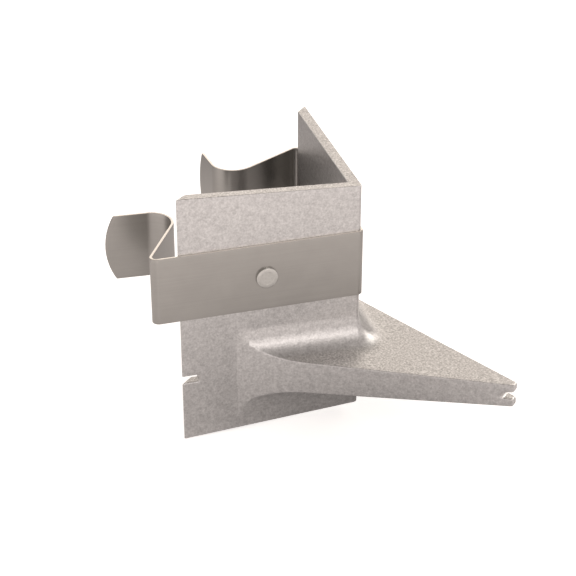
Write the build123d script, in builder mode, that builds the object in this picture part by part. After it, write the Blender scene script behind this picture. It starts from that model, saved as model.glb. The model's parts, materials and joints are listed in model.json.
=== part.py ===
# Corner line bracket: a cast L-shaped body that seats on one corner of a square pole,
# held there by a riveted spring band whose two curled leaves grip the pole's far faces.
# Builders' line is pulled through the slots in the nose and in the walls' free edges.
#
# Millimetres. The origin is on the pole's corner edge, level with the three line slots.
# The left wall runs along -X and faces -Y, the right wall runs along +Y and faces +X,
# and the nose points outwards from the corner between them, along (+X, -Y).
# Everything is alike on both sides of the upright plane through the nose.
import os
from math import cos, radians, sin, sqrt, tan

from build123d import *

os.makedirs("parts", exist_ok=True)

# ---- driving dimensions ---------------------------------------------------------------
# what the bracket fits
pole_side = 50.8  # 2 in square pole
leaf_preload = 1.6  # how far the pole pushes each curled leaf out

# cast body: walls
wall_thickness = 3.5
wall_past_pole = 2.85  # outer face of a wall beyond the pole's edge
free_edge_height = 82.55  # 3 1/4 in at the free edges
corner_height = 76.2  # 3 in at the corner
wall_centre = 19.8  # middle of the walls above the line slots
corner_radius = 1.2  # outside corner

# cast body: nose
nose_reach = 52.4  # outside corner to tip
nose_tip_width = 2.2
nose_tip_height = 7.5
nose_root = 39.6  # outside corner to where the nose leaves a wall
nose_draft = 1.65  # degrees, above and below
nose_fillet = 9.5  # nose into walls

# line slots
slot_height = 2.4
wall_slot_depth = 5.5
nose_slot_depth = 3.9
mouth_radius = 1.0  # nose tip into its slot
tip_radius = 0.8  # nose tip into its top and underside

# spring band
band_height = 21.7
band_thickness = 0.8
band_centre = 32.2  # middle of the band above the line slots
bend_radius = 1.3  # inside radius of the bend past each free edge
lip_turn = 120.0  # degrees turned at that bend
lip_run = 23.9  # from that bend to the curl
curl_radius = 7.05  # middle of the strip
tail_length = 10.1  # straight end after the curl
tail_lift = 3.8  # degrees by which the tail leans away from the wall
tail_bulge = 3.0  # rounded end of the strip
flex_gap = 0.5  # opening between band and leaf at the flexing line
flex_from_rivet = 8.0

# rivets
rivet_from_corner = 30.1
shank_diameter = 4.0
head_diameter = 6.8
head_height = 0.9
head_edge = 0.3
tail_diameter = 6.4  # closed end, flush in its countersink

# ---- places that follow from them -----------------------------------------------------
wall_length = wall_thickness + pole_side + wall_past_pole
outer = wall_thickness  # the outer faces stand at x = +outer and y = -outer
free_end = outer - wall_length  # x of the left wall's free edge
rivet_x = outer - rivet_from_corner
flex_x = rivet_x - flex_from_rivet
band_face = outer + band_thickness
band_middle = outer + band_thickness / 2
past = 1.0  # how far a cutting tool runs past the metal

# planes: the middle upright plane, and the rivets' seats on the walls' inner faces
corner_point = (outer, -outer, 0)
nose_side_view = Plane(origin=corner_point, x_dir=(1, -1, 0), z_dir=(-1, -1, 0))
nose_plan = Plane(origin=corner_point, x_dir=(1, -1, 0), z_dir=(0, 0, 1))
middle = Plane(origin=(0, 0, 0), x_dir=(1, -1, 0), z_dir=(1, 1, 0))
left_seat = Plane(origin=(rivet_x, 0, band_centre), x_dir=(1, 0, 0), z_dir=(0, 1, 0))
right_seat = Plane(origin=(0, -rivet_x, band_centre), x_dir=(0, 1, 0), z_dir=(-1, 0, 0))

# nose outline in plan, from the outside corner: x towards the tip, y towards the right wall
root = nose_root / sqrt(2)
half_tip = nose_tip_width / 2
nose_back = root + nose_fillet  # length of the blank behind the corner


def nose_half_height(reach):
    """Half the height of the nose at a distance from the outside corner."""
    return nose_tip_height / 2 + (nose_reach - reach) * tan(radians(nose_draft))


# ---- nose blank: wider than the nose, so that its fillets can run out past the cut -----
blank_root = nose_root + nose_fillet / 3  # along each wall
blank_width = 1.5 * nose_fillet  # out from each wall
with BuildPart() as nose_blank:
    with BuildSketch() as blank_outline:
        with BuildLine():
            blank_tip = nose_plan.from_local_coords((nose_reach, -blank_width / 2))
            tip_middle = nose_plan.from_local_coords((nose_reach, 0))
            Polyline(
                (0, 0),
                (outer - blank_root, -outer / 2),
                (outer - blank_root, -outer - blank_width),
                (blank_tip.X, blank_tip.Y),
                (tip_middle.X, tip_middle.Y),
                close=True,
            )
        make_face()
        mirror(about=middle)
    extrude(amount=free_edge_height, both=True)
    with BuildSketch(nose_side_view):
        with BuildLine():
            Polyline(
                (-nose_back, nose_half_height(-nose_back)),
                (nose_reach, nose_half_height(nose_reach)),
                (nose_reach, -nose_half_height(nose_reach)),
                (-nose_back, -nose_half_height(-nose_back)),
                close=True,
            )
        make_face()
    extrude(amount=wall_length, both=True, mode=Mode.INTERSECT)

# ---- cast body ------------------------------------------------------------------------
with BuildPart() as cast_body:
    # left wall in plan: mitred at the corner and at its free edge
    with BuildSketch(Plane.XY.offset(wall_centre)):
        with BuildLine():
            Polyline(
                (outer, -outer),
                (0, 0),
                (free_end + wall_thickness, 0),
                (free_end, -outer),
                close=True,
            )
        make_face()
    extrude(amount=free_edge_height, both=True)
    # and from the front: its top and bottom spread towards the free edge
    with BuildSketch(Plane.XZ):
        with BuildLine():
            Polyline(
                (outer, wall_centre + corner_height / 2),
                (free_end, wall_centre + free_edge_height / 2),
                (free_end, wall_centre - free_edge_height / 2),
                (outer, wall_centre - corner_height / 2),
                close=True,
            )
        make_face()
    extrude(amount=wall_length, both=True, mode=Mode.INTERSECT)
    mirror(about=middle)
    upright = cast_body.edges().filter_by(Axis.Z)
    fillet(upright.sort_by_distance((outer, -outer, wall_centre))[0], corner_radius)

    # nose blank, filleted into the walls all the way round the corner
    walls = cast_body.part
    add(nose_blank.part)
    joint_edges = new_edges(walls, nose_blank.part, combined=cast_body.part)
    fillet(joint_edges.filter_by(Axis.Z, reverse=True), nose_fillet)

    # straight cut from each wall to the tip: it slices nose and fillets alike
    with BuildSketch() as side_waste:
        with BuildLine():
            tip_side = nose_plan.from_local_coords((nose_reach, -half_tip))
            beyond_tip = nose_plan.from_local_coords((nose_reach + past, -blank_width))
            Polyline(
                (outer - nose_root, -outer),
                (tip_side.X, tip_side.Y),
                (beyond_tip.X, beyond_tip.Y),
                (outer - blank_root - past, -outer - 2 * blank_width),
                (outer - blank_root - past, -outer),
                close=True,
            )
        make_face()
        mirror(about=middle)
    extrude(amount=free_edge_height, both=True, mode=Mode.SUBTRACT)

    # line slots: across the nose tip, and into both free edges
    with BuildSketch(nose_side_view):
        with Locations((nose_reach, 0)):
            SlotOverall(2 * nose_slot_depth, slot_height)
    extrude(amount=nose_fillet, both=True, mode=Mode.SUBTRACT)
    across = Axis(corner_point, (1, 1, 0))
    outwards = Axis(corner_point, (1, -1, 0))
    tip_edges = cast_body.edges().filter_by(across).group_by(outwards)[-1].sort_by(Axis.Z)
    fillet(tip_edges[1:3], mouth_radius)
    tip_edges = cast_body.edges().filter_by(across).group_by(outwards)[-1].sort_by(Axis.Z)
    fillet([tip_edges[0], tip_edges[-1]], tip_radius)
    with BuildSketch() as wall_slots:
        with Locations((free_end, -outer)):
            Rectangle(2 * wall_slot_depth, 4 * wall_thickness)
        mirror(about=middle)
    extrude(amount=slot_height / 2, both=True, mode=Mode.SUBTRACT)

    # rivet holes, countersunk on the inner faces so that the pole slides over them
    with Locations(left_seat, right_seat):
        CounterSinkHole(shank_diameter / 2, tail_diameter / 2, 2 * wall_thickness, 90)

# ---- rivets: flat head outside, tail closed flush in the countersink -------------------
with BuildPart() as rivet_left:
    with BuildSketch(Plane(left_seat.origin, x_dir=(1, 0, 0), z_dir=(0, 0, 1))) as half_section:
        with BuildLine():
            tail_depth = (tail_diameter - shank_diameter) / 2
            Polyline(
                (0, 0),
                (tail_diameter / 2, 0),
                (shank_diameter / 2, -tail_depth),
                (shank_diameter / 2, -band_face),
                (head_diameter / 2, -band_face),
                (head_diameter / 2, -band_face - head_height),
                (0, -band_face - head_height),
                close=True,
            )
        make_face()
        rim = half_section.vertices().group_by(Axis.Y)[0].sort_by(Axis.X)[-1]
        fillet(rim, head_edge)
    revolve(axis=Axis(left_seat.origin, (0, 1, 0)))

with BuildPart() as rivet_right:
    mirror(rivet_left.part, about=middle)

# ---- spring band: fixed stretch, wrapped round the corner under both rivets ------------
with BuildPart() as spring_band:
    with BuildSketch(Plane.XY.offset(band_centre)):
        with BuildLine():
            FilletPolyline(
                (flex_x, -band_middle),
                (band_middle, -band_middle),
                (band_middle, -flex_x),
                radius=corner_radius + band_thickness / 2,
            )
        trace(line_width=band_thickness)
    extrude(amount=band_height / 2, both=True)
    with Locations(left_seat, right_seat):
        Hole(shank_diameter / 2)

# ---- spring leaves: on past the free edge, bent back and curled out --------------------
# innermost line of the curl, and from it the bend's place, in the left wall's plan
curl_turn = lip_turn - tail_lift
curl_corner = curl_radius * tan(radians(curl_turn / 2))
curl_inset = curl_radius * (1 - sin(radians(lip_turn)))
curl_x = leaf_preload - pole_side
bend_x = curl_x - band_thickness / 2 - curl_inset + lip_run * cos(radians(lip_turn))
lip_way = (-cos(radians(lip_turn)), sin(radians(lip_turn)))
tail_way = (-cos(radians(tail_lift)), sin(radians(tail_lift)))
to_curl = lip_run + curl_corner
to_end = curl_corner + tail_length
curl_point = (bend_x + to_curl * lip_way[0], -band_middle + to_curl * lip_way[1])
tail_point = (curl_point[0] + to_end * tail_way[0], curl_point[1] + to_end * tail_way[1])
full_point = (tail_point[0] + tail_bulge * tail_way[0], tail_point[1] + tail_bulge * tail_way[1])

with BuildPart() as spring_leaf_left:
    with BuildSketch(Plane.XY.offset(band_centre)):
        with BuildLine():
            FilletPolyline(
                (flex_x - flex_gap, -band_middle),
                (bend_x, -band_middle),
                curl_point,
                full_point,
                radius=[bend_radius + band_thickness / 2, curl_radius],
            )
        trace(line_width=band_thickness)
    extrude(amount=band_height / 2, both=True)
    # rounded end of the strip, seen from the front
    with BuildSketch(Plane.XZ):
        with BuildLine():
            top = band_centre + band_height / 2
            bottom = band_centre - band_height / 2
            ThreePointArc((tail_point[0], top), (full_point[0], band_centre), (tail_point[0], bottom))
            Polyline(
                (tail_point[0], bottom),
                (tail_point[0], bottom - past),
                (full_point[0] - past, bottom - past),
                (full_point[0] - past, top + past),
                (tail_point[0], top + past),
                (tail_point[0], top),
            )
        make_face()
    extrude(amount=-wall_length, mode=Mode.SUBTRACT)

with BuildPart() as spring_leaf_right:
    mirror(spring_leaf_left.part, about=middle)

# ---- write ----------------------------------------------------------------------------
pieces = {
    "cast_body": cast_body,
    "rivet_left": rivet_left,
    "rivet_right": rivet_right,
    "spring_band": spring_band,
    "spring_leaf_left": spring_leaf_left,
    "spring_leaf_right": spring_leaf_right,
}
for name, piece in pieces.items():
    piece.part.label = name
    export_step(piece.part, f"parts/{name}.step")
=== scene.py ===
# %% [markdown]
# # Corner line bracket: a lesson in rough cast metal and springy sheet
# A mason or sider pushes this bracket onto one corner of a square pole and pulls builders'
# line from the slot in its nose. It is only four pieces: one aluminium casting, one bent
# strip of spring steel and two rivets. With so few pieces the eye rests on the finishes, so
# most of this lesson is about metal: grainy, rolled and pressed.
#
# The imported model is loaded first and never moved. Each new piece is built where it says.

# %% Load the fixed frame
import json
from math import cos, pi, radians, sin, sqrt

import bmesh
import bpy
from mathutils import Matrix, Vector


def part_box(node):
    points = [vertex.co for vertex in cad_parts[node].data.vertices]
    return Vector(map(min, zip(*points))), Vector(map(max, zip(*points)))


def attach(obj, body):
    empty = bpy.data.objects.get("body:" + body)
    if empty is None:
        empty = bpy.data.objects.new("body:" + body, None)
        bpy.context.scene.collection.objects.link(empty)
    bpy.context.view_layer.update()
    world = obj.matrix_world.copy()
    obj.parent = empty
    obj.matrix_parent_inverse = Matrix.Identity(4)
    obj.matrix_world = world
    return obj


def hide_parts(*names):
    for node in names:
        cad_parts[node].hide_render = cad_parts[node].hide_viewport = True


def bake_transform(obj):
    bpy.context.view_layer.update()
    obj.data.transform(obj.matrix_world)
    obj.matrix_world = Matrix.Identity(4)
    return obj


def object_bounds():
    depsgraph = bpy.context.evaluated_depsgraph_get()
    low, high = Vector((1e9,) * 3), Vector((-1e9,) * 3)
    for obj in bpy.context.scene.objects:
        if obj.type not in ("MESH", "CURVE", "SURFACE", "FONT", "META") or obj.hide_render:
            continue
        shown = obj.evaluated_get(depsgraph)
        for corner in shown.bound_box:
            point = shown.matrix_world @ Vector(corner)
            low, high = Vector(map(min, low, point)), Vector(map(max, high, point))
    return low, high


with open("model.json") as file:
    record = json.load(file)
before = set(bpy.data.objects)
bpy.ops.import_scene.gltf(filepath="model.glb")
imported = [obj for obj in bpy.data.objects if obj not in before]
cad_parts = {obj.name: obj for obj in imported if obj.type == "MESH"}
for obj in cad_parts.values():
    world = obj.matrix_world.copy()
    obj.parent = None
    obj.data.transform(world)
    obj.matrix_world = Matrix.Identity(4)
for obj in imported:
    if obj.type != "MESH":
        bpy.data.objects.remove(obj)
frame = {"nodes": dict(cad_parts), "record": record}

cad_low, cad_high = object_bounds()
MM = 0.001
print("box in mm:", [round(v / MM, 2) for v in (*cad_low, *cad_high)])

# %% [markdown]
# ## The camera first
# A catalogue picture is taken from a little above with a long lens, so that upright edges
# stay nearly parallel. The camera is placed by the direction it looks in and by how far it
# stands from the middle of the part, which keeps it right if the part's size changes.

# %% Camera
VIEW_AZIMUTH, VIEW_ELEVATION = radians(-17.04), radians(28.81)
VIEW_DISTANCE = 502.2 * MM
LENS = 99.6  # mm, a long lens
NEAREST_SEEN = 10 * MM
AIM_RIGHT, AIM_UP = -0.4 * MM, -2.6 * MM  # aim point, from the middle of the box

back = Vector((
    sin(VIEW_AZIMUTH) * cos(VIEW_ELEVATION),
    -cos(VIEW_AZIMUTH) * cos(VIEW_ELEVATION),
    sin(VIEW_ELEVATION),
))
right = Vector((0, 0, 1)).cross(back).normalized()
up = back.cross(right)
middle = (cad_low + cad_high) / 2
camera = bpy.data.objects.new("camera", bpy.data.cameras.new("camera"))
camera.data.lens = LENS
camera.data.clip_start = NEAREST_SEEN
camera.location = middle + AIM_RIGHT * right + AIM_UP * up + VIEW_DISTANCE * back
camera.rotation_euler = back.to_track_quat("Z", "Y").to_euler()
bpy.context.scene.collection.objects.link(camera)
bpy.context.scene.camera = camera
print("camera at", [round(v, 3) for v in camera.location])

# %% [markdown]
# ## Small helpers
# One function turns a paint-shop colour, written as sRGB hex, into the linear numbers that
# the renderer needs. One more adds a node together with its settings and its links, so that
# each material below reads like a recipe. Some nodes, such as Mix, have several sockets with
# one name, so a socket can be given by its number too: 0 in the settings, i0 among the links.

# %% Helpers for colour and nodes
def colour(hex_code):
    """Linear RGBA of an sRGB hex colour."""
    channels = [int(hex_code[i:i + 2], 16) / 255 for i in (1, 3, 5)]
    linear = [c / 12.92 if c <= 0.04045 else ((c + 0.055) / 1.055) ** 2.4 for c in channels]
    return (*linear, 1.0)


def add(owner, kind, settings=None, **links):
    """Adds a node to a material or world: settings are its attributes or its sockets' values."""
    node = owner.node_tree.nodes.new(kind)
    for name, value in (settings or {}).items():
        if isinstance(name, str) and hasattr(node, name):
            setattr(node, name, value)
        else:
            node.inputs[name].default_value = value
    for name, source in links.items():
        by_number = name[0] == "i" and name[1:].isdigit()
        owner.node_tree.links.new(source, node.inputs[int(name[1:]) if by_number else name])
    return node


def new_metal(name, base, roughness):
    """A bare metal of one colour and roughness, which the nodes below then vary."""
    material = bpy.data.materials.new(name)
    material.use_nodes = True
    shader = material.node_tree.nodes["Principled BSDF"]
    shader.inputs["Metallic"].default_value = 1.0
    shader.inputs["Base Color"].default_value = colour(base)
    shader.inputs["Roughness"].default_value = roughness
    return material, shader


def ramp_stops(node, *stops):
    """Sets the stops of a colour ramp: pairs of position and colour."""
    elements = node.color_ramp.elements
    while len(elements) < len(stops):
        elements.new(1.0)
    for element, (position, value) in zip(elements, stops):
        element.position = position
        element.color = value


print("white is", colour("#FFFFFF"))

# %% [markdown]
# ## Sand-cast aluminium
# The body is poured into a sand mould. The sand leaves a fine pebbled skin, which breaks the
# mirror of the metal into thousands of small glints, and a blast with grit afterwards evens
# it out. To the eye it is a pale grey with a mottled sheen. The faces that look up are a
# little coarser, and their grain is painted with more contrast, lighter and a touch warmer:
# painted glints of the light from above.
#
# The skin is a bump from fine noise on a faint, wider swell. Real grains are 0.1 to 0.3 mm,
# which is too fine to show from here, so they are drawn 0.6 mm wide.

# %% Material: sand-cast aluminium
GRAIN = 0.6 * MM
MOTTLE = 1.3 * MM
CLOUD = 9 * MM
GRAIN_HEIGHT, SWELL_HEIGHT = 0.075 * MM, 0.04 * MM

cast_aluminium, shader = new_metal("sand_cast_aluminium", "#BFBEBD", 0.40)
place = add(cast_aluminium, "ShaderNodeTexCoord").outputs
grain = add(cast_aluminium, "ShaderNodeTexNoise",
            {"Scale": 1 / GRAIN, "Detail": 3.0, "Roughness": 0.6}, Vector=place["Object"])
mottle = add(cast_aluminium, "ShaderNodeTexNoise",
             {"Scale": 1 / MOTTLE, "Detail": 3.0, "Roughness": 0.55}, Vector=place["Object"])
cloud = add(cast_aluminium, "ShaderNodeTexNoise", {"Scale": 1 / CLOUD, "Detail": 2.0},
            Vector=place["Object"])

# level faces: where the surface looks straight up
facing = add(cast_aluminium, "ShaderNodeSeparateXYZ", Vector=place["Normal"])
level = add(cast_aluminium, "ShaderNodeMapRange", {"From Min": 0.9, "From Max": 0.995},
            Value=facing.outputs["Z"])

speckle = add(cast_aluminium, "ShaderNodeMix", {"data_type": "FLOAT", 0: 0.55},
              i2=mottle.outputs["Fac"], i3=grain.outputs["Fac"])
upright_tone = add(cast_aluminium, "ShaderNodeValToRGB", Fac=speckle.outputs[0])
ramp_stops(upright_tone, (0.34, colour("#ABAAAA")), (0.66, colour("#D1D0D0")))
# painted glints: on level faces the grain is painted with more contrast, its light grains lighter
# and a touch warmer, as the light from above shows them
painted_glint_tone = add(cast_aluminium, "ShaderNodeValToRGB", Fac=grain.outputs["Fac"])
ramp_stops(painted_glint_tone, (0.32, colour("#A19F9D")), (0.68, colour("#DDDBD9")))
tone = add(cast_aluminium, "ShaderNodeMix", {"data_type": "RGBA"}, i0=level.outputs["Result"],
           i6=upright_tone.outputs["Color"], i7=painted_glint_tone.outputs["Color"])
cast_aluminium.node_tree.links.new(tone.outputs[2], shader.inputs["Base Color"])
print("cast aluminium: grain drawn at", GRAIN / MM, "mm, mottle at", MOTTLE / MM, "mm")

# %% Sand-cast aluminium: sheen and skin
sheen = add(cast_aluminium, "ShaderNodeMapRange", {"To Min": 0.30, "To Max": 0.46},
            Value=mottle.outputs["Fac"])
cast_aluminium.node_tree.links.new(sheen.outputs["Result"], shader.inputs["Roughness"])

relief = add(cast_aluminium, "ShaderNodeMapRange", {"To Min": 0.75, "To Max": 1.0},
             Value=level.outputs["Result"])
skin = add(cast_aluminium, "ShaderNodeBump", {"Distance": GRAIN_HEIGHT},
           Height=grain.outputs["Fac"], Strength=relief.outputs["Result"])
swell = add(cast_aluminium, "ShaderNodeBump", {"Distance": SWELL_HEIGHT, "Strength": 0.5},
            Height=cloud.outputs["Fac"], Normal=skin.outputs["Normal"])
cast_aluminium.node_tree.links.new(swell.outputs["Normal"], shader.inputs["Normal"])
print("cast skin stands", round(GRAIN_HEIGHT / MM, 3), "mm proud")

# %% [markdown]
# ## Rolled spring steel
# The clip is cut from cold-rolled strip. Rolling leaves long faint lines along the strip and
# a satin shine. Hardened and bent, it stays smooth, so it mirrors its surroundings in soft
# upright bands wherever it curves. Its two broad faces stand upright, so lines that run along
# the strip are a noise that is very fine in height and very long sideways. The sheared edges,
# which look up and down, are painted lighter: a painted highlight of the light from above.
# The lines are drawn coarser than real ones.

# %% Material: rolled spring steel
ROLL_LINE = 0.35 * MM
ROLL_LENGTH = 40 * MM
BLOOM = 6 * MM  # soft stains from hardening
ROLL_HEIGHT = 0.006 * MM

spring_steel, shader = new_metal("rolled_spring_steel", "#9F9D9A", 0.30)
place = add(spring_steel, "ShaderNodeTexCoord").outputs
stretched = add(spring_steel, "ShaderNodeMapping",
                {"Scale": (1 / ROLL_LENGTH, 1 / ROLL_LENGTH, 1 / ROLL_LINE)},
                Vector=place["Object"])
lines = add(spring_steel, "ShaderNodeTexNoise", {"Scale": 1.0, "Detail": 3.0, "Roughness": 0.6},
            Vector=stretched.outputs["Vector"])
bloom = add(spring_steel, "ShaderNodeTexNoise", {"Scale": 1 / BLOOM, "Detail": 3.0},
            Vector=place["Object"])
speckle = add(spring_steel, "ShaderNodeMix", {"data_type": "FLOAT", 0: 0.5},
              i2=lines.outputs["Fac"], i3=bloom.outputs["Fac"])
tone = add(spring_steel, "ShaderNodeValToRGB", Fac=speckle.outputs[0])
ramp_stops(tone, (0.35, colour("#9C9A97")), (0.65, colour("#A2A09D")))

# the sheared edges, where the surface looks up or down, are painted lighter: a painted highlight
# of the light from above
facing = add(spring_steel, "ShaderNodeSeparateXYZ", Vector=place["Normal"])
tilt = add(spring_steel, "ShaderNodeMath", {"operation": "ABSOLUTE"}, i0=facing.outputs["Z"])
sheared = add(spring_steel, "ShaderNodeMapRange", {"From Min": 0.6, "From Max": 0.95},
              Value=tilt.outputs["Value"])
painted_edge_highlight = add(spring_steel, "ShaderNodeMix", {"data_type": "RGBA", 7: colour("#DAD5CE")},
           i0=sheared.outputs["Result"], i6=tone.outputs["Color"])
spring_steel.node_tree.links.new(painted_edge_highlight.outputs[2], shader.inputs["Base Color"])

sheen = add(spring_steel, "ShaderNodeMapRange", {"To Min": 0.26, "To Max": 0.36},
            Value=speckle.outputs[0])
spring_steel.node_tree.links.new(sheen.outputs["Result"], shader.inputs["Roughness"])
rolled = add(spring_steel, "ShaderNodeBump", {"Distance": ROLL_HEIGHT, "Strength": 0.5},
             Height=lines.outputs["Fac"])
spring_steel.node_tree.links.new(rolled.outputs["Normal"], shader.inputs["Normal"])
print("rolling lines drawn at", ROLL_LINE / MM, "mm")

# %% [markdown]
# ## Pressed aluminium rivet
# A solid rivet is soft aluminium wire. Its head is pressed smooth and bright, a touch lighter
# than the steel under it, with tiny nicks from the setting tool.

# %% Material: pressed aluminium
NICK = 0.7 * MM
NICK_DEPTH = 0.01 * MM

rivet_aluminium, shader = new_metal("pressed_aluminium", "#B8B7B4", 0.30)
place = add(rivet_aluminium, "ShaderNodeTexCoord").outputs
nicks = add(rivet_aluminium, "ShaderNodeTexNoise", {"Scale": 1 / NICK, "Detail": 4.0},
            Vector=place["Object"])
tone = add(rivet_aluminium, "ShaderNodeValToRGB", Fac=nicks.outputs["Fac"])
ramp_stops(tone, (0.35, colour("#B4B3B0")), (0.65, colour("#BDBCB9")))
rivet_aluminium.node_tree.links.new(tone.outputs["Color"], shader.inputs["Base Color"])
sheen = add(rivet_aluminium, "ShaderNodeMapRange", {"To Min": 0.24, "To Max": 0.40},
            Value=nicks.outputs["Fac"])
rivet_aluminium.node_tree.links.new(sheen.outputs["Result"], shader.inputs["Roughness"])
pressed = add(rivet_aluminium, "ShaderNodeBump", {"Distance": NICK_DEPTH, "Strength": 0.4},
              Height=nicks.outputs["Fac"])
rivet_aluminium.node_tree.links.new(pressed.outputs["Normal"], shader.inputs["Normal"])
print("materials:", [m.name for m in bpy.data.materials])

# %% [markdown]
# ## The frame's own sizes
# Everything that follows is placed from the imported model. The origin is on the pole's corner,
# level with the line slots. The left slot's mount stands in the middle of its wall, so the
# wall is twice as thick as that mount is far from y = 0. The casting's box gives the wall's
# free edge, and the boxes of band and rivet give the strip's height and thickness and the
# rivet's place. Both sides of the bracket are alike, and the mirror plane stands upright
# through the nose: x becomes -y.

# %% Sizes read from the frame
band_low, band_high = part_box("spring_band")
rivet_low, rivet_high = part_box("rivet_left")
slot_mount = next(m for m in frame["record"]["mounts"] if m["name"] == "left_line_slot")
WALL = -2 * slot_mount["pos_m"][1]
FREE_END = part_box("cast_body")[0].x
STRIP = -band_low.y - WALL
MIRROR = Matrix(((0, -1, 0, 0), (-1, 0, 0, 0), (0, 0, 1, 0), (0, 0, 0, 1)))
rivet_axis = Vector(((rivet_low.x + rivet_high.x) / 2, 0, (rivet_low.z + rivet_high.z) / 2))
print("wall", round(WALL / MM, 2), "mm, strip", round(STRIP / MM, 2), "mm thick and",
      round((band_high.z - band_low.z) / MM, 2), "mm high")

# %% [markdown]
# ## Finishing a piece
# Every piece ends in the same way: its object stays at the origin with its place in its mesh,
# it gets one material, and it is shaded smooth except at creases. Weighted normals then let a
# large flat face decide the shading at its rim, so that flats stay flat beside small rounds.

# %% Helper that finishes a piece
CREASE = 35  # degrees, the sharpest turn that is shaded smooth


def finished(name, mesh, material, body=None, crease=CREASE):
    """Links a mesh in one material, shaded smooth up to the crease, riding on a body if given."""
    piece = bpy.data.objects.new(name, mesh)
    bpy.context.scene.collection.objects.link(piece)
    mesh.materials.clear()
    mesh.materials.append(material)
    mesh.shade_smooth()
    mesh.set_sharp_from_angle(angle=radians(crease))
    weighted = piece.modifiers.new("even shading on flats", "WEIGHTED_NORMAL")
    weighted.keep_sharp = True
    if body:
        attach(piece, body)
    print(name, "has", len(mesh.polygons), "faces")
    return piece


print("a piece is shaded smooth up to", CREASE, "degrees")

# %% [markdown]
# ## The casting
# A casting never has knife edges: sand crumbles at a sharp corner of the mould, so each edge
# comes out with a radius of a few tenths of a millimetre, and that thin radius is what
# catches the light. The modelled body has the right shape but sharp edges, so a copy of it is
# cleaned and its flat faces are joined up again before its edges are bevelled.
#
# Each side of the nose leaves its wall at a shallow bend. Two cuts across the surface beside
# that bend keep the shading from turning across the whole wall.

# %% Casting: a clean copy of the modelled body
SAME_POINT = 0.002 * MM
ON_CUT = 0.001 * MM
FLAT = radians(0.4)
ROOT_BEND = radians(20), radians(32)  # the nose's bend turns by an angle between these
ROOT_LENGTH = 20 * MM  # and is longer than this
ROOT_BLEND = 3.6 * MM  # from the bend to the cut on each side of it

body_shape = bmesh.new()
body_shape.from_mesh(frame["nodes"]["cast_body"].data)
bmesh.ops.remove_doubles(body_shape, verts=body_shape.verts, dist=SAME_POINT)
bmesh.ops.dissolve_limit(body_shape, angle_limit=FLAT, use_dissolve_boundaries=False,
                         verts=body_shape.verts, edges=body_shape.edges)
root_x = min(
    e.verts[0].co.x for e in body_shape.edges
    if e.is_manifold and not e.is_convex and e.calc_length() > ROOT_LENGTH
    and ROOT_BEND[0] < e.calc_face_angle() < ROOT_BEND[1]
)
for step in (-ROOT_BLEND, ROOT_BLEND):
    left_cut = Vector((root_x + step, 0, 0)), Vector((1, 0, 0))
    right_cut = Vector((0, -root_x - step, 0)), Vector((0, 1, 0))
    for point, normal in (left_cut, right_cut):
        everything = body_shape.verts[:] + body_shape.edges[:] + body_shape.faces[:]
        bmesh.ops.bisect_plane(body_shape, geom=everything, dist=ON_CUT,
                               plane_co=point, plane_no=normal)
print("the nose leaves the left wall at x =", round(root_x / MM, 2), "mm; faces:",
      len(body_shape.faces))

# %% [markdown]
# ## Which edges are rounded
# A bevel needs room, so it can't run along every line of the mesh. The steps of a fillet turn
# only a little and are left out by their angle. Where the nose's edges run out into a wall
# they are too fine to round, and the drilled rivet holes stay crisp, because they are cut
# after casting.

# %% Casting: rounded edges
EDGE_RADIUS = 0.35 * MM
OUTWARD_CREASE, INWARD_CREASE = radians(24), radians(32)  # edges that turn more are rounded
ROOT_DEPTH, ROOT_HEIGHT = WALL - 0.4 * MM, 17 * MM  # the run-out: beyond this, lower than that
HOLE_CLEARANCE = 5 * MM


def near_rivet(point):
    """True beside either rivet hole, where edges stay sharp."""
    return any(
        (along - rivet_axis.x) ** 2 + (point.z - rivet_axis.z) ** 2 < HOLE_CLEARANCE ** 2
        for along in (point.x, -point.y)
    )


def near_root(point):
    """True where the nose's edges run out into a wall, too fine to round."""
    return any(
        abs(along - root_x) < ROOT_BLEND and out < -ROOT_DEPTH and abs(point.z) < ROOT_HEIGHT
        for along, out in ((point.x, point.y), (-point.y, -point.x))
    )


def stays_sharp(edge):
    """True for a smooth or shallow edge, and for one beside a rivet or at the nose's root."""
    middle_point = (edge.verts[0].co + edge.verts[1].co) / 2
    crease = OUTWARD_CREASE if edge.is_convex else INWARD_CREASE
    return edge.calc_face_angle() <= crease or near_rivet(middle_point) or near_root(middle_point)


cast_edges = [e for e in body_shape.edges if e.is_manifold and not stays_sharp(e)]
bmesh.ops.bevel(body_shape, geom=cast_edges, offset=EDGE_RADIUS, offset_type="OFFSET", segments=3,
                profile=0.5, affect="EDGES", material=-1, clamp_overlap=False)
body_mesh = bpy.data.meshes.new("corner_casting")
body_shape.to_mesh(body_mesh)
print("bevelled", len(cast_edges), "edges; open edges:",
      sum(not e.is_manifold for e in body_shape.edges))
body_shape.free()
corner_casting = finished("corner_casting", body_mesh, cast_aluminium, "root")
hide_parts("cast_body")

# %% [markdown]
# ## The spring strip
# On the real bracket this is one strip, bent on a form: round the outside corner, along the
# wall, back on itself past the free edge, and outwards again in a curl that lets the pole
# slide in. A strip like that is drawn as its wall-side line, swept one stretch at a time with
# bmesh's spin: a spin with an angle is a bend, and a spin with no angle but a step is a
# straight run. Then it gets its thickness and its slightly rounded edges.
#
# On the real part each side of the strip bends with its own leaf when the pole pushes it; here
# the strip is made as two halves that meet, unseen, in the middle of the outside corner.

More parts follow.
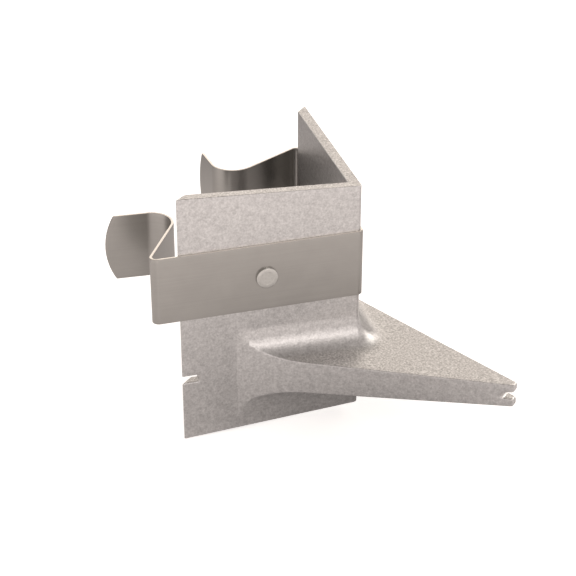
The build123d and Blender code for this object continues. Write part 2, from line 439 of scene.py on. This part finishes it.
# %% Strip: its sizes and the sweep
CORNER_RADIUS = 1.2 * MM
BEND_RADIUS = 1.3 * MM
BEND_PAST_EDGE = 5.9 * MM  # centre of that bend, beyond the free edge
BEND_TURN, CURL_TURN = radians(120), radians(116.2)
LIP_RUN = 20.96 * MM  # straight stretch between bend and curl
CURL_RADIUS = 7.05 * MM + STRIP / 2
TAIL_RUN = 10.05 * MM
TAIL_BULGE = 3.0 * MM  # how far the rounded end stands out at mid height
ROWS = 16  # faces over the strip's height, and then along each stretch
CORNER_STEPS, WALL_STEPS, BEND_STEPS, LIP_STEPS, CURL_STEPS, TAIL_STEPS = 8, 36, 18, 8, 36, 6

bend_x = FREE_END - BEND_PAST_EDGE
z_axis = Vector((0, 0, 1))


def sweep(shape, line, steps, centre=Vector(), angle=0.0, run=Vector()):
    """Spins or steps the strip's leading line onwards and returns the new leading line."""
    grown = bmesh.ops.spin(shape, geom=line, cent=centre, axis=z_axis, dvec=run / steps,
                           angle=angle, steps=steps, use_merge=False)
    return grown["geom_last"]


def line_start(line):
    """A point of the leading line, dropped to z = 0."""
    point = next(g for g in line if isinstance(g, bmesh.types.BMVert)).co
    return Vector((point.x, point.y, 0))


print("the bend past the free edge is centred at x =", round(bend_x / MM, 2), "mm")

# %% Strip: one half as a sheet
def strip_half():
    """The left half of the strip without its thickness, from outside corner to rounded end."""
    shape = bmesh.new()
    corner_centre = Vector((WALL - CORNER_RADIUS, -WALL + CORNER_RADIUS, 0))
    start = corner_centre + CORNER_RADIUS * Vector((1, -1, 0)).normalized()
    heights = [band_low.z + (band_high.z - band_low.z) * i / ROWS for i in range(ROWS + 1)]
    column = [shape.verts.new((start.x, start.y, z)) for z in heights]
    line = column + [shape.edges.new(pair) for pair in zip(column, column[1:])]

    line = sweep(shape, line, CORNER_STEPS, centre=corner_centre, angle=-pi / 4)
    line = sweep(shape, line, WALL_STEPS, run=Vector((bend_x - corner_centre.x, 0, 0)))
    bend_centre = Vector((bend_x, -WALL + BEND_RADIUS, 0))
    line = sweep(shape, line, BEND_STEPS, centre=bend_centre, angle=-BEND_TURN)
    lip_way = Vector((-cos(BEND_TURN), sin(BEND_TURN), 0))
    line = sweep(shape, line, LIP_STEPS, run=LIP_RUN * lip_way)
    curl_centre = line_start(line) + CURL_RADIUS * Vector((-lip_way.y, lip_way.x, 0))
    line = sweep(shape, line, CURL_STEPS, centre=curl_centre, angle=CURL_TURN)
    lean = BEND_TURN - CURL_TURN
    tail_way = Vector((-cos(lean), sin(lean), 0))
    line = sweep(shape, line, TAIL_STEPS, run=TAIL_RUN * tail_way)

    # the end is cut to a shallow arc, furthest out at mid height
    half_height = (band_high.z - band_low.z) / 2
    end_radius = (half_height ** 2 + TAIL_BULGE ** 2) / (2 * TAIL_BULGE)
    for vert in (g for g in line if isinstance(g, bmesh.types.BMVert)):
        height = vert.co.z - rivet_axis.z
        vert.co += (sqrt(end_radius ** 2 - height ** 2) - end_radius + TAIL_BULGE) * tail_way

    bmesh.ops.recalc_face_normals(shape, faces=shape.faces)
    return shape


trial = strip_half()
print("one half of the strip is swept in", len(trial.faces), "faces, reaching x =",
      round(min(v.co.x for v in trial.verts) / MM, 2), "mm")
trial.free()

# %% Strip: thickness and edges
STRIP_EDGE = 0.12 * MM
CUT_CORNER = radians(50)  # a sharper turn is a corner of the strip's section
ON_MIRROR = 0.01 * MM  # how near the mirror plane a point counts as on it


def thicken(shape):
    """Gives the sheet its thickness, away from the wall, and rounds its edges."""
    on_wall = Vector((0, -WALL, rivet_axis.z))
    first = min(shape.faces, key=lambda face: (face.calc_center_median() - on_wall).length)
    if first.normal.y < 0:
        bmesh.ops.reverse_faces(shape, faces=shape.faces)
    bmesh.ops.solidify(shape, geom=shape.faces[:], thickness=STRIP)
    bmesh.ops.recalc_face_normals(shape, faces=shape.faces)
    cut_edges = [
        e for e in shape.edges
        if e.is_manifold and e.calc_face_angle() > CUT_CORNER
        and not all(abs(v.co.x + v.co.y) < ON_MIRROR for v in e.verts)
    ]
    bmesh.ops.bevel(shape, geom=cut_edges, offset=STRIP_EDGE, offset_type="OFFSET", segments=2,
                    profile=0.5, affect="EDGES", material=-1, clamp_overlap=True)
    return shape


print("edges of the strip are rounded by up to", STRIP_EDGE / MM, "mm")

# %% Strip: the two halves
strip_halves = {}
for side in ("left", "right"):
    half = thicken(strip_half())
    if side == "right":
        bmesh.ops.transform(half, matrix=MIRROR, verts=half.verts)
        bmesh.ops.recalc_face_normals(half, faces=half.faces)
    mesh = bpy.data.meshes.new(f"spring_strip_{side}")
    half.to_mesh(mesh)
    half.free()
    piece = finished(f"spring_strip_{side}", mesh, spring_steel)
    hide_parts(f"spring_leaf_{side}", "spring_band")
    strip_halves[side] = piece

# %% [markdown]
# ## Where the strip bends
# In the motion model each leaf turns about one upright line. Steel strip bends over its whole
# free length instead: it follows the casting up to the rivet and turns gradually into its leaf
# between the rivet and the free edge. That blend line slants inwards, because the lip folds
# back beside the wall and all of it has to follow the leaf. Here the line's two ends are only
# worked out for each half and its start printed, with each half's placement baked into its
# mesh; the halves themselves are not bent.

# %% Strip: the ends of each half's bend line
CLAMPED = 34 * MM  # along the wall from its corner: the casting holds the strip up to here
FREE_ALONG, FREE_IN = 47 * MM, 13 * MM  # along the wall, and in from its outer face

for side, piece in strip_halves.items():
    start = Vector((WALL - CLAMPED, -WALL, rivet_axis.z))
    end = Vector((WALL - FREE_ALONG, -WALL + FREE_IN, rivet_axis.z))
    if side == "right":
        start, end = MIRROR @ start, MIRROR @ end
    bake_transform(piece)
    print(piece.name, "bends from", [round(v / MM, 1) for v in start])

# %% [markdown]
# ## The rivets
# A flat-headed solid rivet: a thin round head outside, a shank through strip and wall, and a
# tail that is hammered into the countersink until it is flush, so the pole slides over it.
# Anything turned or pressed round is a profile spun about its axis. The head's centre is
# sunk by a few hundredths of a millimetre, where the setting tool pressed on it.

# %% Rivets: the profile
SHANK, TAIL = 2.0 * MM, 3.2 * MM  # radii, and so are the next two
HEAD = (rivet_high.x - rivet_low.x) / 2
PRESS_MARK = 0.6 * HEAD
PRESS_DEPTH = 0.04 * MM
face_y = rivet_low.y
seat_y = -WALL - STRIP

profile = [
    (0, 0), (TAIL, 0), (SHANK, SHANK - TAIL), (SHANK, seat_y), (HEAD, seat_y), (HEAD, face_y),
    (PRESS_MARK + PRESS_DEPTH, face_y), (PRESS_MARK - PRESS_DEPTH, face_y + PRESS_DEPTH),
    (0, face_y + PRESS_DEPTH),
]
print("rivet head", round(2 * HEAD / MM, 2), "mm wide and", round((seat_y - face_y) / MM, 2),
      "mm thick")

# %% Rivets: spun, rounded and placed
HEAD_ROUND = 0.3 * MM
RIVET_CREASE = 25  # degrees, so that the press mark's rim shows
SPIN_STEPS = 64
TOUCHING = 0.001 * MM
ON_RIM = 0.01 * MM

for side in ("left", "right"):
    shape = bmesh.new()
    points = [shape.verts.new((rivet_axis.x + r, y, rivet_axis.z)) for r, y in profile]
    outline = points + [shape.edges.new(pair) for pair in zip(points, points[1:])]
    bmesh.ops.spin(shape, geom=outline, cent=rivet_axis, axis=Vector((0, 1, 0)), angle=2 * pi,
                   steps=SPIN_STEPS, use_merge=True)
    bmesh.ops.remove_doubles(shape, verts=shape.verts, dist=TOUCHING)
    bmesh.ops.recalc_face_normals(shape, faces=shape.faces)
    rim = [
        e for e in shape.edges
        if all(abs(v.co.y - face_y) < TOUCHING
               and abs((v.co - rivet_axis).xz.length - HEAD) < ON_RIM for v in e.verts)
    ]
    bmesh.ops.bevel(shape, geom=rim, offset=HEAD_ROUND, offset_type="OFFSET", segments=4,
                    profile=0.5, affect="EDGES", material=-1)
    if side == "right":
        bmesh.ops.transform(shape, matrix=MIRROR, verts=shape.verts)
        bmesh.ops.recalc_face_normals(shape, faces=shape.faces)
    mesh = bpy.data.meshes.new(f"flat_rivet_{side}")
    shape.to_mesh(mesh)
    shape.free()
    rivet = finished(f"flat_rivet_{side}", mesh, rivet_aluminium, "root", crease=RIVET_CREASE)
    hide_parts(f"rivet_{side}")

# %% [markdown]
# ## The studio: floor
# The part stands on matt white paint that runs out of sight. Bare metal has no colour of its
# own, it shows its surroundings, and a floor this white would wash it out. So the metal doesn't
# mirror this floor: a card made for that purpose, further down, takes its place.

# %% Floor
FLOOR_RADIUS = 6.0
FLOOR_SIDES = 96
FLOOR_GLOW = 0.55  # keeps the paint white in every direction

floor_paint = bpy.data.materials.new("matt_white_paint")
floor_paint.use_nodes = True
shader = floor_paint.node_tree.nodes["Principled BSDF"]
shader.inputs["Base Color"].default_value = colour("#F4F3F2")
shader.inputs["Roughness"].default_value = 0.9
shader.inputs["Specular IOR Level"].default_value = 0.1
shader.inputs["Emission Color"].default_value = colour("#FFFFFF")
shader.inputs["Emission Strength"].default_value = FLOOR_GLOW

floor_shape = bmesh.new()
bmesh.ops.create_circle(floor_shape, cap_ends=True, segments=FLOOR_SIDES, radius=FLOOR_RADIUS)
bmesh.ops.translate(floor_shape, verts=floor_shape.verts, vec=(middle.x, middle.y, cad_low.z))
floor_mesh = bpy.data.meshes.new("floor")
floor_shape.to_mesh(floor_mesh)
floor_shape.free()
floor_mesh.materials.append(floor_paint)
floor = bpy.data.objects.new("floor", floor_mesh)
bpy.context.scene.collection.objects.link(floor)
floor.visible_glossy = False
floor.visible_shadow = False
print("floor at z =", round(cad_low.z / MM, 2), "mm")

# %% [markdown]
# ## The studio: two softboxes
# Most of the light comes from the surroundings. Two weak softboxes add to the long highlights
# in the hollow of each fillet, where a curved surface gathers a lamp into a line.

# %% Softboxes
PANEL_DISTANCE, PANEL_SIZE = 1.2, 0.4


def panel(name, azimuth, elevation, power, tint):
    """A square softbox that looks at the part's middle from a compass direction."""
    a, e = radians(azimuth), radians(elevation)
    towards = Vector((sin(a) * cos(e), -cos(a) * cos(e), sin(e)))
    light = bpy.data.lights.new(name, "AREA")
    light.size = PANEL_SIZE
    light.energy = power
    light.color = colour(tint)[:3]
    lamp = bpy.data.objects.new(name, light)
    lamp.location = middle + PANEL_DISTANCE * towards
    lamp.rotation_euler = towards.to_track_quat("Z", "Y").to_euler()
    bpy.context.scene.collection.objects.link(lamp)
    print(name, "at", [round(v, 2) for v in lamp.location])


panel("front_panel", azimuth=18, elevation=39, power=1.5, tint="#FFF8F3")
panel("side_panel", azimuth=112, elevation=31, power=2.0, tint="#FFFAF2")

# %% [markdown]
# ## The studio: what the metal mirrors above
# A smooth metal face shows one direction of its surroundings, so the brightness of the world
# in that direction is the brightness of the face. The front half of the world is nearly even
# and dims overhead. The rear half has a bright band, which the level faces mirror towards the
# camera as they would a lit wall behind the part. Each half is a ramp over height, and the
# two are mixed from front to back.

# %% Surroundings
WARM = "#FFF5EC"
FAINT = "#FFF5EF"
BRIGHTEST = 2.4  # every ramp is a share of this
FRONT_TO_REAR = 0.3  # half the width of the mix, as a share of the sphere's radius

# degrees above the horizon, brightness and tint
FRONT_SKY = ((0, 0.85, FAINT), (15, 0.9, FAINT), (30, 1.0, FAINT), (50, 0.75, FAINT),
             (62, 0.55, FAINT), (90, 0.45, FAINT))
REAR_SKY = ((-8, 0.35, WARM), (12, 0.35, WARM), (18, 2.3, WARM), (27, 2.2, WARM),
            (35, 0.55, WARM), (60, 0.6, WARM), (90, 0.45, FAINT))


def lit(tint, level):
    """A tint at a brightness, as a share of the brightest."""
    return (*(channel * level / BRIGHTEST for channel in colour(tint)[:3]), 1.0)


def sky_stops(sky):
    """Ramp stops for a sky: its elevations as places between straight down and straight up."""
    return [((sin(radians(degrees)) + 1) / 2, lit(tint, level)) for degrees, level, tint in sky]


world = bpy.data.worlds.new("studio")
world.use_nodes = True
outlook = add(world, "ShaderNodeTexCoord").outputs["Generated"]
way = add(world, "ShaderNodeSeparateXYZ", Vector=outlook)
height = add(world, "ShaderNodeMapRange", {"From Min": -1.0}, Value=way.outputs["Z"])
front = add(world, "ShaderNodeValToRGB", Fac=height.outputs["Result"])
ramp_stops(front, *sky_stops(FRONT_SKY))
rear = add(world, "ShaderNodeValToRGB", Fac=height.outputs["Result"])
ramp_stops(rear, *sky_stops(REAR_SKY))
depth = add(world, "ShaderNodeMapRange", {"From Min": -FRONT_TO_REAR, "From Max": FRONT_TO_REAR},
            Value=way.outputs["Y"])
sky = add(world, "ShaderNodeMix", {"data_type": "RGBA"}, i0=depth.outputs["Result"],
          i6=front.outputs["Color"], i7=rear.outputs["Color"])
background = world.node_tree.nodes["Background"]
background.inputs["Strength"].default_value = BRIGHTEST
world.node_tree.links.new(sky.outputs[2], background.inputs["Color"])
bpy.context.scene.world = world
bpy.context.scene.view_settings.view_transform = "Standard"
print("world brightness from", min(level for _, level, _ in FRONT_SKY + REAR_SKY), "to",
      max(level for _, level, _ in FRONT_SKY + REAR_SKY))

# %% [markdown]
# ## The studio: what the metal mirrors below
# The upright faces mirror the ground. On a real table the part shades the ground close to it,
# so faces darken towards their foot. The card below the part copies that: it is dim in the
# middle, grows brighter outwards, and is dimmer behind, far to the right and to the left. Its
# levels are tuned to give the metal its brightness in the main view. It is staging, seen only
# in the metal, and it is not part of the bracket.

# %% Card under the part
CARD_REACH = 400 * MM
CARD_CENTRE = Vector((6 * MM, -12 * MM, 0))
CARD_LEVELS = (  # millimetres from its centre, brightness
    (0, 0.15), (35, 0.38), (55, 0.62), (80, 0.87), (110, 1.06), (160, 1.34), (230, 1.62),
)

# how the brightness changes from one place to another: behind, to the right, to the left
BEHIND = {"From Min": 60 * MM, "From Max": 220 * MM, "To Min": 1.0, "To Max": 0.3}
BESIDE = {"From Min": 110 * MM, "From Max": 160 * MM,
          "To Min": BRIGHTEST, "To Max": 0.6 * BRIGHTEST}
LEFTWARD = {"From Min": -130 * MM, "From Max": -60 * MM, "To Min": 0.74, "To Max": 1.0}

card_light = bpy.data.materials.new("graded_card")
card_light.use_nodes = True
card_light.node_tree.nodes.clear()
spot = add(card_light, "ShaderNodeTexCoord").outputs["Object"]
centred = add(card_light, "ShaderNodeMapping", {"Location": -CARD_CENTRE}, Vector=spot)
distance = add(card_light, "ShaderNodeVectorMath", {"operation": "LENGTH"},
               i0=centred.outputs["Vector"])
share = add(card_light, "ShaderNodeMapRange", {"From Max": CARD_REACH},
            Value=distance.outputs["Value"])
fade = add(card_light, "ShaderNodeValToRGB", Fac=share.outputs["Result"])
ramp_stops(fade, *((away * MM / CARD_REACH, lit(FAINT, level)) for away, level in CARD_LEVELS))

across = add(card_light, "ShaderNodeSeparateXYZ", Vector=spot).outputs
behind = add(card_light, "ShaderNodeMapRange", BEHIND, Value=across["Y"])
beside = add(card_light, "ShaderNodeMapRange", BESIDE, Value=across["X"])
leftward = add(card_light, "ShaderNodeMapRange", LEFTWARD, Value=across["X"])
shade = add(card_light, "ShaderNodeMath", {"operation": "MULTIPLY"},
            i0=behind.outputs["Result"], i1=beside.outputs["Result"])
strength = add(card_light, "ShaderNodeMath", {"operation": "MULTIPLY"},
               i0=shade.outputs["Value"], i1=leftward.outputs["Result"])
glow = add(card_light, "ShaderNodeEmission", Color=fade.outputs["Color"],
           Strength=strength.outputs["Value"])
add(card_light, "ShaderNodeOutputMaterial", Surface=glow.outputs["Emission"])

card = bpy.data.objects.new("graded_card", floor_mesh.copy())
card.data.materials.clear()
card.data.materials.append(card_light)
bpy.context.scene.collection.objects.link(card)
card.visible_camera = card.visible_diffuse = card.visible_shadow = False
print("card grades over", CARD_LEVELS[-1][0], "mm from its centre")
